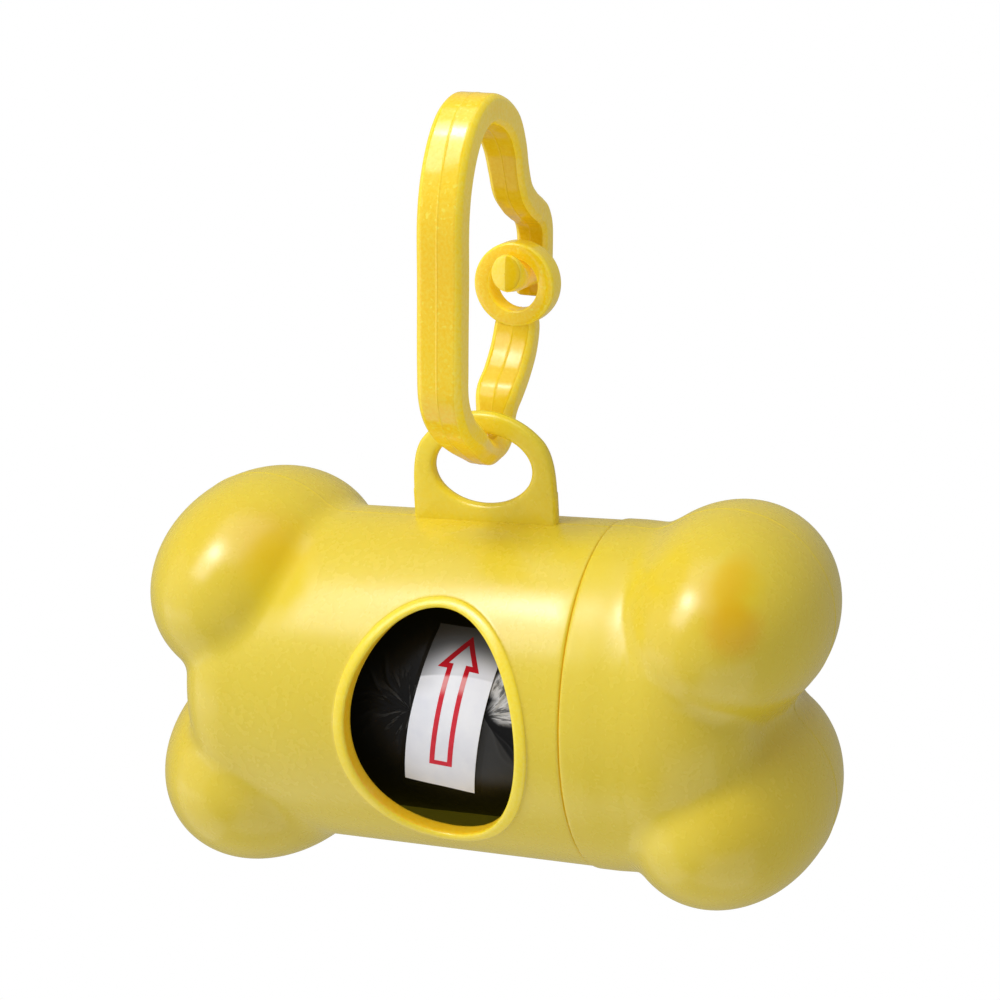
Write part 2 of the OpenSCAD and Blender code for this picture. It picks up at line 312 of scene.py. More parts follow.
def ellipsoid(p, centre, radii):
    """About the distance to an ellipsoid."""
    r = np.array(radii)
    d = (p - np.array(centre)) / r
    near = np.sqrt((d**2).sum(-1))
    slope = np.sqrt((d**2 / r**2).sum(-1))
    return near * (near - 1) / np.maximum(slope, 1e-9)


def bone_end(p, end_x, end_round, lobe, upper_shift, collar):
    """About the distance to one end of the bone, whose closed end lies towards +X."""
    x = p[..., 0]
    out = np.hypot(p[..., 1], p[..., 2])
    a = out - BARREL_R + end_round
    b = x - end_x + end_round
    corner = np.hypot(np.maximum(a, 0), np.maximum(b, 0)) - end_round
    barrel = np.where((a > 0) & (b > 0), corner, np.maximum(out - BARREL_R, x - end_x))
    upper_radii = (lobe[2] - UPPER_SLIM, LOBE_DEPTH, lobe[2] + UPPER_GROWTH)
    upper = ellipsoid(p, (lobe[0] + upper_shift, 0, lobe[1] + UPPER_RISE), upper_radii)
    lower = ellipsoid(p, (lobe[0], 0, -lobe[1]), (lobe[2], LOWER_DEPTH, lobe[2]))
    shape = soft_min(barrel, soft_min(upper, lower, LOBE_BLEND), BARREL_BLEND)
    if collar:
        fade = np.clip((x - COLLAR_FADE_X) / (COLLAR_END_X - COLLAR_FADE_X), 0, 1)
        ring = out - COLLAR_R + (COLLAR_R - BARREL_R + COLLAR_SINK) * fade * fade * (3 - 2 * fade)
        ring = soft_max(ring, x - COLLAR_END_X - COLLAR_TAIL, COLLAR_TAIL)
        shape = soft_min(shape, ring, COLLAR_BLEND)
    return shape


def tilt_at(x, radius):
    """How many degrees from +X a ray points that meets this radius at x."""
    return 90 + np.degrees(np.arctan2(RAYS_X - x, radius))


def star(distance, tilt, around, level, ridge):
    """Where rays from the axis at RAYS_X meet a surface. Rows go by tilt, columns by angle around."""
    t, w = np.meshgrid(np.radians(tilt), np.radians(around), indexing="ij")
    way = np.stack([np.cos(t), -np.sin(t) * np.cos(w), np.sin(t) * np.sin(w)], -1)
    start = np.array([RAYS_X, 0.0, 0.0])
    low = np.full(t.shape, 2.0)
    high = np.full(t.shape, 60.0)
    for _ in range(42):
        mid = (low + high) / 2
        outside = distance(start + way * mid[..., None]) > level
        high = np.where(outside, mid, high)
        low = np.where(outside, low, mid)
    reach = (low + high) / 2
    if ridge:
        reach = reach + parting(around)[None, :] * np.ones_like(reach)
    return start + way * reach[..., None]


def parting(around):
    """Height of the mould's parting line at each angle round the barrel."""
    return np.where(np.abs(np.abs(around) - 90) < 0.25, PARTING_H, 0.0)


def on_barrel(x, angle, radius):
    """A point at this angle above the barrel's front."""
    w = np.radians(angle)
    x, w, radius = np.broadcast_arrays(x, w, radius)
    return np.stack([x, -radius * np.cos(w), radius * np.sin(w)], -1)


def rings(profile, around, ridge=False):
    """A surface of revolution about the barrel's axis, from a list of (x, radius)."""
    p = np.array(profile, float)
    extra = parting(around) if ridge else np.zeros_like(around)
    return on_barrel(p[:, :1], around[None, :], p[:, 1:] + extra[None, :])


def columns():
    """Angles round the barrel, with more of them beside the parting line."""
    base = np.arange(-180, 180, 1.2)
    extra = [s * 90 + d for s in (-1, 1) for d in (-0.8, -0.45, -0.2, 0.2, 0.45, 0.8)]
    return np.array(sorted(set(np.round(np.concatenate([base, extra]), 4))))


# Case and end cap


def window_patch(shell, around, rows_x):
    """The part of the barrel round the window: plain border, raised rim, cut wall and inner border."""
    inside = around[np.abs(around) <= PATCH_ANGLE + 1e-6]
    left = [(-PATCH_X, a) for a in inside]
    top = [(x, PATCH_ANGLE) for x in rows_x[1:]]
    right = [(PATCH_X, a) for a in inside[::-1][1:]]
    bottom = [(x, -PATCH_ANGLE) for x in rows_x[::-1][1:-1]]
    border = np.array(left + top + right + bottom)
    turn = np.arctan2(border[:, 1] / PATCH_ANGLE, border[:, 0] / PATCH_X)
    edge_x = WINDOW_W / 2 * np.cos(turn)
    edge_z = WINDOW_Z + WINDOW_H / 2 * np.sin(turn)
    edge_s = BARREL_R * np.arcsin(edge_z / BARREL_R)
    along_x = -WINDOW_W / 2 * np.sin(turn)
    along_s = WINDOW_H / 2 * np.cos(turn) / np.sqrt(1 - (edge_z / BARREL_R) ** 2)
    size = np.hypot(along_x, along_s)
    out_x, out_s = along_s / size, -along_x / size
    border_s = np.radians(border[:, 1]) * BARREL_R

    def rim(distance, height):
        """A loop round the window at a distance from its edge and a height above the barrel."""
        s = edge_s + out_s * distance
        return on_barrel(edge_x + out_x * distance, np.degrees(s / BARREL_R), BARREL_R + height)

    rows = []
    foot = RIM_BEAD[0][0]
    for share in np.linspace(1, 0, 14)[:-1]:
        x = (edge_x + out_x * foot) * (1 - share) + border[:, 0] * share
        s = (edge_s + out_s * foot) * (1 - share) + border_s * share
        rows.append(on_barrel(x, np.degrees(s / BARREL_R), BARREL_R))
    flat = len(rows) + 3
    rows += [rim(distance, height) for distance, height in RIM_BEAD]
    shell.grid(np.array(rows[: flat + 1]))
    shell.grid(np.array(rows[flat:]), tint=3)
    rows = rows[-1:]
    inner_r = BARREL_R - WALL
    for radius in np.linspace(BARREL_R - 0.25, inner_r, 6):
        rows.append(np.stack([edge_x, -np.sqrt(radius**2 - edge_z**2), edge_z], -1))
    inner_angle = np.degrees(np.arcsin(edge_z / inner_r))
    shell.grid(np.array(rows), tint=4)
    rows = rows[-1:]
    for share in np.linspace(0, 1, 6)[1:]:
        x = edge_x * (1 - share) + border[:, 0] * share
        angle = inner_angle * (1 - share) + border[:, 1] * share
        rows.append(on_barrel(x, angle, inner_r))
    shell.grid(np.array(rows), tint=1)


def case_shell(materials):
    """The case: left end of the bone, barrel with the window, seam face and neck, hollow inside."""
    around = columns()
    shell = Shell()
    rows_x = np.linspace(-PATCH_X, PATCH_X, 67)
    back = np.concatenate([around[around >= PATCH_ANGLE - 1e-6], around[around <= -PATCH_ANGLE + 1e-6]])
    window_patch(shell, around, rows_x)

    def outside(p):
        """The left end, drawn towards +X and mirrored afterwards."""
        return bone_end(p, LEFT_END_X, LEFT_END_ROUND, LEFT_LOBE, 0.0, False)

    for radius, level, ridge in ((BARREL_R, 0.0, True), (BARREL_R - WALL, -WALL, False)):
        tilt = np.linspace(0, tilt_at(PATCH_X, radius), 170 if ridge else 90)
        tint = 0 if ridge else 1
        shell.grid(star(outside, tilt, around, level, ridge) * [-1.0, 1.0, 1.0], tint=tint)
        shell.grid(rings([(x, radius) for x in rows_x], back, ridge), round_cols=False, tint=tint)
    outer = [
        (PATCH_X, BARREL_R), (14.0, BARREL_R), (14.8, BARREL_R), (15.5, BARREL_R), (15.72, 20.98),
        (15.84, 20.9), (SEAM_X, 20.78),
    ]
    shell.grid(rings(outer, around, True))
    shell.grid(rings([(SEAM_X, 20.78), (SEAM_X, 19.6)], around), tint=2)
    neck = [
        (SEAM_X, 19.6), (SEAM_X, 18.7), (15.97, 18.5), (16.2, NECK_R), (18.0, NECK_R), (20.0, NECK_R),
        (22.0, NECK_R), (23.5, NECK_R), (23.8, 18.25), (NECK_END_X, 18.0), (NECK_END_X, 17.6),
        (23.75, 17.3), (23.5, NECK_BORE_R), (20.0, NECK_BORE_R), (17.0, NECK_BORE_R),
        (14.3, NECK_BORE_R), (14.0, 17.3), (NECK_STEP_X, 17.6), (NECK_STEP_X, 19.1), (13.8, 19.35),
        (13.6, 19.4), (PATCH_X, 19.4),
    ]
    shell.grid(rings(neck, around))
    return shell.object("bone_case_shell", *materials)


def thread_ridges(material):
    """Three short raised thread turns round the neck."""
    shell = Shell()
    lead = 9.0
    section = [(-0.7, -0.3), (-0.62, 0.2), (-0.34, 0.62), (0.34, 0.62), (0.62, 0.2), (0.7, -0.3)]
    for first in (0, 120, 240):
        turn = np.linspace(-40, 40, 60)
        fade = np.clip((40 - np.abs(turn)) / 9, 0, 1)
        rows = []
        for dx, dr in section:
            height = np.where(dr > 0, dr * np.sqrt(fade), dr)
            x = 19.9 + lead * turn / 360 + dx * (0.4 + 0.6 * fade)
            rows.append(on_barrel(x, first + 90 - turn, NECK_R + height))
        rows = np.array(rows)
        shell.grid(rows, round_rows=True, round_cols=False)
        shell.lid(rows[:, 0])
        shell.lid(rows[:, -1])
    return shell.object("neck_thread_ridges", material)


def cap_shell(materials):
    """The end cap: right end of the bone with a plain collar, open at the seam and hollow inside."""
    around = columns()
    shell = Shell()
    from_x = 17.4

    def outside(p):
        """With the collar's raised ring."""
        return bone_end(p, CAP_END_X, CAP_END_ROUND, CAP_LOBE, UPPER_SLIM, True)

    def inside(p):
        """Without it, for the hollow."""
        return bone_end(p, CAP_END_X, CAP_END_ROUND, CAP_LOBE, UPPER_SLIM, False)

    # Rows stand closer where the collar ends
    near_step = tilt_at(np.arange(21.4, 23.6, 0.1), COLLAR_R)
    even = np.linspace(0, tilt_at(from_x, COLLAR_R), 150)
    even = even[(even < near_step.min() - 0.2) | (even > near_step.max() + 0.2)]
    tilt = np.array(sorted(set(np.concatenate([even, near_step]))))
    shell.grid(star(outside, tilt, around, 0.0, True))
    collar = [
        (from_x, COLLAR_R), (16.9, COLLAR_R), (16.4, COLLAR_R), (16.2, 21.17), (16.08, 21.09),
        (CAP_START_X, 20.95), (CAP_START_X, 20.2),
    ]
    shell.grid(rings(collar, around, True))
    bore_r = BARREL_R - WALL
    mouth = [(CAP_START_X, 20.2), (CAP_START_X, 19.7), (16.25, 19.5), (16.45, bore_r), (from_x, bore_r)]
    shell.grid(rings(mouth, around), tint=2)
    bore = star(inside, np.linspace(0, tilt_at(from_x, bore_r), 90), around, -WALL, False)
    shell.grid(bore, tint=1)
    return shell.object("bone_end_cap_shell", *materials)


def tab_plate(material):
    """The hanging tab: a plate with a rounded top, soft edges, an oval slot and a fine parting line."""
    turn = np.radians(np.arange(0, 360, 1.0) + 0.5)
    c, s = np.cos(turn), np.sin(turn)
    rise = SLOT_Z - (TAB_TOP - TAB_ARCH_R)
    side = TAB_HALF / np.maximum(np.abs(c), 1e-9)
    arch = -rise * s + np.sqrt(TAB_ARCH_R**2 - (rise * c) ** 2)
    arch = np.where(arch * s + rise > 0, arch, 99.0)
    down = np.where(s < 0, (SLOT_Z - TAB_FOOT_Z) / np.maximum(-s, 1e-9), np.inf)
    reach = np.minimum(soft_min(side, arch, TAB_BLEND), down)
    outline = np.stack([reach * c, SLOT_Z + reach * s], -1)
    slot = np.stack([SLOT_W / 2 * c, SLOT_Z + SLOT_H / 2 * s], -1)
    toward = slot - outline
    toward /= np.linalg.norm(toward, axis=1, keepdims=True)
    half = TAB_T / 2
    # The soft edges: inset in millimetres, and height as a share of half the plate's thickness
    edge = [(0.6, -1.0), (0.32, -0.95), (0.12, -0.8), (0.02, -0.55), (0, -0.12), (-0.06, 0)]
    edge = edge + [(d, -y) for d, y in edge[:-1][::-1]]
    inner = [(0.75, 1.0), (0.4, 0.95), (0.16, 0.8), (0.03, 0.5), (0, 0.1), (-0.05, 0)]
    inner = inner + [(d, -y) for d, y in inner[:-1][::-1]]
    rows = []
    for loop, side, table in ((outline, 1, edge), (slot, -1, inner)):
        for depth, y in table:
            p = loop + toward * depth * side
            rows.append(np.stack([p[:, 0], np.full(len(p), y * half), p[:, 1]], -1))
    shell = Shell()
    shell.grid(np.array(rows), round_rows=True)
    return shell.object("hanging_tab_plate", material)


# Clip


def smooth_line(line, spans):
    """A smooth curve through every control point."""
    line = np.array(line, float)
    last = len(line) - 1
    out = []
    for i in range(last):
        a, b = line[max(i - 1, 0)], line[i]
        c, d = line[i + 1], line[min(i + 2, last)]
        for k in range(spans):
            t = k / spans
            flat = 2 * b + (c - a) * t + (2 * a - 5 * b + 4 * c - d) * t * t
            out.append((flat + (3 * b - a - 3 * c + d) * t**3) / 2)
    out.append(line[last])
    return np.array(out)


def bar_section(width, thick, b):
    """A bevelled section with soft corners and a fine ridge along the middle of both faces."""
    w, d = width / 2, thick / 2
    quarter = [(w, d - b), (w - b, d)]
    half = quarter + [(-x, y) for x, y in quarter[::-1]]
    corners = np.array(half + [(x, -y) for x, y in half[::-1]])
    ridge = [(0.2, 0), (0.08, 0.01), (0.04, 0.035), (-0.04, 0.035), (-0.08, 0.01), (-0.2, 0)]
    out = []
    for i, p in enumerate(corners):
        before, after = corners[i - 1], corners[(i + 1) % 8]
        a = p + (before - p) / np.linalg.norm(before - p) * CORNER_CUT
        c = p + (after - p) / np.linalg.norm(after - p) * CORNER_CUT
        for t in (0, 0.25, 0.5, 0.75, 1):
            out.append((1 - t) ** 2 * a + 2 * t * (1 - t) * p + t * t * c)
        if i in (1, 5):
            side = 1 if i == 1 else -1
            for x, up in ridge:
                out.append(np.array([x * side, (d + up) * side]))
    return np.array(out)


def bar_rows(path):
    """Sections of a bevelled bar square to its centre line, in the clip's own plane."""
    rows = []
    last = len(path) - 1
    for i, p in enumerate(path):
        way = path[min(i + 1, last)][:2] - path[max(i - 1, 0)][:2]
        way = way / np.linalg.norm(way)
        s = bar_section(p[3], p[2], p[4])
        y = p[0] - way[1] * s[:, 1]
        z = p[1] + way[0] * s[:, 1]
        rows.append(np.stack([s[:, 0], y, z], -1))
    return np.array(rows)


def skin(shell, rows):
    """Adds a bar's sections in strips from corner to corner: first and last column, and tint."""
    # Tints: 0 the face tone, 1 the lighter bevel tone as painted light, 2 the deeper inner tone as
    # painted shade, 3 the paler side tone as painted light
    outer_face = [(33, 44, 0), (28, 33, 1), (44, 49, 1)]
    inner_face = [(7, 18, 2), (2, 7, 1), (18, 23, 1)]
    sides = [(23, 28, 3), (49, 54, 3)]
    for first, last, tint in outer_face + inner_face + sides:
        pick = [c % rows.shape[1] for c in range(first, last + 1)]
        shell.grid(on_clip(rows[:, pick]), round_cols=False, tint=tint)


def rounded_end(rows, way):
    """Closes a bar with three smaller sections, so that its end has a soft edge."""
    middle = rows[-1].mean(0)
    out = [rows]
    for size, step in ((0.97, 0.18), (0.9, 0.3), (0.8, 0.36)):
        out.append(((rows[-1] - middle) * size + middle + np.array(way) * step)[None])
    return np.vstack(out)


def split_clip():
    """The whole clip's centre line, cut behind the tab into the frame's part and the gate's part."""
    path = smooth_line(NOSE_LINE + GATE_LINE, CLIP_STEPS)
    start = (len(NOSE_LINE) - 1) * CLIP_STEPS
    cut = start + int(np.argmin(np.abs(path[start:, 0] - GATE_CUT)))
    return path, cut


def closed_bar(name, rows, materials):
    """A bar's skin, closed at both ends."""
    shell = Shell()
    skin(shell, rows)
    shell.lid(on_clip(rows[0]))
    shell.lid(on_clip(rows[-1]))
    return shell.object(name, *materials, crease=50)


def clip_frame_bar(materials):
    """The clip's spine, arch and nose, from the nose's end to the middle of the strap."""
    path, cut = split_clip()
    rows = bar_rows(path)[: cut + 1]
    rows = rounded_end(rows[::-1], (0, 0, -1))[::-1]
    return closed_bar("clip_spine_arch_and_nose", rows, materials)


def clip_gate_arm(materials):
    """The gate's arm, from the strap up to the ring."""
    path, cut = split_clip()
    return closed_bar("clip_gate_arm", bar_rows(path)[cut:], materials)


def turns(step, extra):
    """Even angles of a full turn and a few more of them at a mould's parting line, in radians."""
    return np.radians(np.array(sorted(set(list(range(0, 360, step)) + extra))))


def clip_ring(materials):
    """The gate's ring: round, with an oval hole, flat faces, soft edges and a fine parting line."""
    turn = turns(2, [89, 91, 269, 271])
    c, s = np.cos(turn), np.sin(turn)
    line = 0.05 * (np.abs(c) < 0.01)
    half = RING_T / 2
    edge = [(0.0, 0.0), (0.0, 0.66), (0.03, 0.84), (0.13, 0.95), (0.3, 1.0)]
    edge = edge[1:][::-1] + [(inset, -y) for inset, y in edge]
    outer = []
    inner = []
    for inset, y in edge:
        r = RING_R - inset + line
        across = np.full(len(c), y * half)
        outer.append(np.stack([r * c, across, r * s], -1))
        a, b = RING_HOLE_W / 2 + inset * 0.8 - line, RING_HOLE_H / 2 + inset * 0.8 - line
        inner.append(np.stack([a * c, across, b * s], -1))
    shell = Shell()
    middle = np.array([0, RING_Y, RING_Z])
    faces = [[outer[-1], inner[-1]], [outer[0], inner[0]]]
    # The edges take the lighter edge tone as painted light
    for rows, tint in ((outer, 1), (inner, 1), (faces[0], 0), (faces[1], 0)):
        shell.grid(on_clip(np.array(rows) + middle), tint=tint)
    return shell.object("clip_gate_ring", *materials, crease=50)


def clip_peg(materials):
    """The nose's peg: a lip on top and a domed tip whose two mould halves meet in an upright ridge."""
    turn = turns(5, [87, 89, 91, 93, 267, 269, 271, 273])
    c, s = np.cos(turn), np.sin(turn)
    ridge = 1 + 0.02 * (np.abs(c) < 0.01)
    rows = []
    for y, low, high, wide in smooth_line(PEG_LINE, 4):
        z = (low + high) / 2 + (high - low) / 2 * s * ridge
        rows.append(np.stack([wide * c, np.full(len(c), y), z], -1))
    shell = Shell()
    # The shaft takes the lighter edge tone as painted light
    shell.grid(on_clip(rows), tint=2)
    shell.lid(on_clip(rows[0]))
    y, low, high, wide = PEG_LINE[-1]
    tip = [rows[-1]]
    for share in (0.97, 0.9, 0.78, 0.6, 0.4, 0.2, 0.05):
        x = wide * share * c
        z = (low + high) / 2 + (high - low) / 2 * share * s
        bulge = y - PEG_DOME * np.sqrt(1 - share**2) - PEG_RIDGE * (1 - np.abs(x) / wide)
        tip.append(np.stack([x, bulge, z], -1))
    tip = np.array(tip)
    top = int(np.argmin(np.abs(turn - math.pi / 2)))
    foot = int(np.argmin(np.abs(turn - math.pi * 1.5)))
    # The tip's left half takes the paler side tone as painted light, its right half the deeper inner
    # tone as painted shade
    shell.grid(on_clip(tip[:, top : foot + 1]), round_cols=False, tint=1)
    rest = list(range(foot, len(turn))) + list(range(top + 1))
    shell.grid(on_clip(tip[:, rest]), round_cols=False, tint=0)
    shell.lid(on_clip(tip[-1]))
    return shell.object("clip_nose_peg", *materials, crease=35)


# Roll, core and label


def film_height(x, s):
    """Height of the film's folds on the unrolled roll: they fan out from the label's two edges."""
    out = np.zeros_like(x)
    # Each fold: angle in degrees, half width in radians, height
    right = [
        (-62, 0.05, 0.1), (-52, 0.03, 0.2), (-46, 0.025, 0.12), (-9, 0.04, 0.24), (12, 0.05, 0.22),
        (29, 0.06, 0.3), (48, 0.06, 0.3), (68, 0.06, 0.25),
    ]
    left = [
        (-28, 0.05, 0.1), (-8, 0.04, 0.16), (4, 0.03, 0.2), (17, 0.04, 0.22), (33, 0.045, 0.22),
        (52, 0.05, 0.2),
    ]
    for cx, cs, side, folds in ((-4.3, 2.3, -1, left), (5.0, 2.4, 1, right)):
        away = np.hypot(x - cx, s - cs)
        angle = np.degrees(np.arctan2(s - cs, (x - cx) * side))
        for at, wide, tall in folds:
            bend = 6 * np.sin(away * 0.8 + at)
            near = np.exp(-((np.radians(angle - at - bend) / wide) ** 2))
            out += tall * near * np.clip(away / 1.2, 0, 1) * np.exp(-away / 7)
    seeds = np.random.default_rng(7)
    for _ in range(30):
        turn = seeds.uniform(-1.2, 1.2)
        at = seeds.uniform(-30, 30)
        wide = seeds.uniform(0.3, 1.2)
        tall = seeds.uniform(0.01, 0.05)
        bend = 1.5 * np.sin(s / seeds.uniform(5, 11) + seeds.uniform(0, 6))
        off = x * math.cos(turn) + s * math.sin(turn) - at + bend
        out += tall * np.exp(-((off / wide) ** 2))
    return 0.3 * np.tanh(out / 0.3)


def film_roll(material):
    """The wound film: a folded skin that is smooth under the label, uneven end faces and a bore."""
    x_parts = [np.arange(-ROLL_HALF, -12, 0.8), np.arange(-12, 12, 0.14), np.arange(12, ROLL_HALF, 0.8)]
    x = np.concatenate(x_parts + [[ROLL_HALF]])
    angle_parts = [np.arange(-180, -55, 1.5), np.arange(-55, 62, 0.5), np.arange(62, 180, 1.5)]
    angle = np.concatenate(angle_parts)
    gx, ga = np.meshgrid(x, angle, indexing="ij")
    s = ROLL_R * np.radians(ga)
    seam = np.clip(1 - np.abs(np.abs(ga) - 180) / 25, 0, 1)
    height = film_height(gx, s) * (1 - seam)
    top = ROLL_R - FILM_GAP
    r = top - FILM_SINK + height
    label = label_mask(gx, ga)
    r = r * (1 - label) + (top - 0.05) * label
    ends = np.clip(np.abs(gx) - ROLL_HALF + 1, 0, 1)
    r = r - 0.25 * ends**2
    shell = Shell()
    shell.grid(on_barrel(gx, ga, r))
    seeds = np.random.default_rng(11)
    for side, edge in ((-1, r[0]), (1, r[-1])):
        rows = [on_barrel(side * ROLL_HALF, angle, edge)]
        for k, radius in enumerate(np.linspace(15.7, CORE_R + CORE_GAP, 24)):
            drop = seeds.uniform(0, 0.25) + 0.06 * np.sin(np.radians(angle * (2 + k % 3)) + k)
            rows.append(on_barrel(side * (ROLL_HALF - np.clip(drop, 0, 0.4)), angle, radius))
        shell.grid(np.array(rows))
    bore = [on_barrel(v, angle, CORE_R + CORE_GAP) for v in (-30.9, 30.9)]
    shell.grid(np.array(bore))
    return lift_roll(shell.object("wound_film_roll", material))


def lift_roll(thing):
    """Moves a piece that was drawn round the barrel's axis to the roll's own axis."""
    thing.data.transform(Matrix.Translation((0, 0, ROLL_Z / 1000)))
    return thing


def label_edges(angle):
    """The label's left and right edge at an angle above the roll's front."""
    left = np.interp(angle, [-24.4, 3, 21, 43.9], [-6.1, -4.47, -3.22, -1.74])
    right = np.interp(angle, [-30.0, 28.3, 46], [2.5, 6.39, 7.25])
    return left, right


def label_mask(x, angle):
    """1 under the label, where the film carries it, and 0 away from it."""
    left, right = label_edges(np.clip(angle, -31, 46))
    across = np.minimum(x - left, right - x)
    ends = np.minimum(angle + 28.6, 46 - angle) * ROLL_R * math.pi / 180
    return np.clip(np.minimum(across, ends) / 1.2 + 0.6, 0, 1)


def core_tube(material):
    """The cardboard tube, with slightly soft ends."""
    angle = np.arange(-180, 180, 3.0)
    inner = CORE_R - CORE_WALL
    end = [(30.8, CORE_R), (ROLL_HALF, CORE_R - 0.15), (ROLL_HALF, inner + 0.15), (30.8, inner)]
    profile = [(-30.8, CORE_R)] + end + [(-x, r) for x, r in end[::-1][:-1]]
    shell = Shell()
    shell.grid(rings(profile, angle), round_rows=True)
    return lift_roll(shell.object("cardboard_core", material, crease=40))


def paper_label(material):
    """The paper label, a little out of square, with its lower end across the roll's front."""
    share_a = np.linspace(0, 1, 60)
    share_x = np.linspace(0, 1, 24)
    ga, gx = np.meshgrid(share_a, share_x, indexing="ij")
    low, high = label_ends(gx)
    angle = low + (high - low) * ga
    left, right = label_edges(angle)
    x = left * (1 - gx) + right * gx
    r = label_radius(ga, gx)
    outer = on_barrel(x, angle, r)
    inner = on_barrel(x, angle, r - LABEL_T)
    shell = Shell()
    shell.grid(outer, round_cols=False)
    shell.grid(inner, round_cols=False)
    for pick in (np.s_[0, :], np.s_[-1, :], np.s_[:, 0], np.s_[:, -1]):
        shell.grid(np.stack([outer[pick], inner[pick]]), round_cols=False)
    return lift_roll(shell.object("paper_label_sheet", material, crease=40))


def arrow_print(material):
    """The plain outline of an arrow, printed on the label."""
    deg = math.pi / 180 * ROLL_R
    tip = (2.78, 40.8 * deg)
    head_l, head_r = (-1.05, 27.5 * deg), (4.25, 25.7 * deg)
    neck_l, neck_r = (0.17, 27.1 * deg), (3.02, 26.2 * deg)
    foot_l, foot_r = (-2.36, -14.7 * deg), (0.46, -15.8 * deg)
    pts = np.array([head_l, neck_l, foot_l, foot_r, neck_r, head_r, tip], float)
    inner = []
    n = len(pts)
    for i in range(n):
        a, b, c = pts[i - 1], pts[i], pts[(i + 1) % n]
        u = (b - a) / np.linalg.norm(b - a)
        v = (c - b) / np.linalg.norm(c - b)
        nu, nv = np.array([-u[1], u[0]]), np.array([-v[1], v[0]])
        m = nu + nv
        inner.append(b + m * 2 * ARROW_STROKE / (m @ m))
    rows_out, rows_in = [], []
    for i in range(n):
        steps = max(2, int(np.linalg.norm(pts[(i + 1) % n] - pts[i]) / 0.35))
        for k in range(steps):
            t = k / steps
            rows_out.append(pts[i] * (1 - t) + pts[(i + 1) % n] * t)
            rows_in.append(inner[i] * (1 - t) + inner[(i + 1) % n] * t)
    rows_out, rows_in = np.array(rows_out), np.array(rows_in)
    rows = np.array([rows_out * (1 - t) + rows_in * t for t in np.linspace(0, 1, 4)])
    angle = np.degrees(rows[..., 1] / ROLL_R)
    r = label_radius(*label_place(rows[..., 0], angle))
    top = on_barrel(rows[..., 0], angle, r + PRINT_T / 2)
    low = on_barrel(rows[..., 0], angle, r - PRINT_T / 2)
    shell = Shell()
    for loops in (top, low, [top[0], low[0]], [top[-1], low[-1]]):
        shell.grid(loops)
    return lift_roll(shell.object("label_arrow_print", material, crease=40))


def label_place(x, angle):
    """Where a point lies on the label, as shares of its length and width."""
    left, right = label_edges(angle)
    gx = (x - left) / (right - left)
    low, high = label_ends(gx)
    return (angle - low) / (high - low), gx


def label_ends(gx):
    """The angles of the label's lower and upper end at a share of its width."""
    return -24.5 * (1 - gx) - 29.9 * gx, 45.6 * (1 - gx) + 43.6 * gx


def label_radius(ga, gx):
    """How far the slightly wavy label lies from the roll's axis, at shares of its length and width."""
    wave = 0.03 * np.sin(ga * 9 + gx * 3) + 0.02 * np.sin(gx * 8 - ga * 4)
    return ROLL_R + LABEL_LIFT + wave


# Materials


def srgb(r, g, b):
    """Screen colours from 0 to 255 as linear light."""
    v = np.array([r, g, b]) / 255.0
    lin = np.where(v <= 0.04045, v / 12.92, ((v + 0.055) / 1.055) ** 2.4)
    return (float(lin[0]), float(lin[1]), float(lin[2]), 1.0)


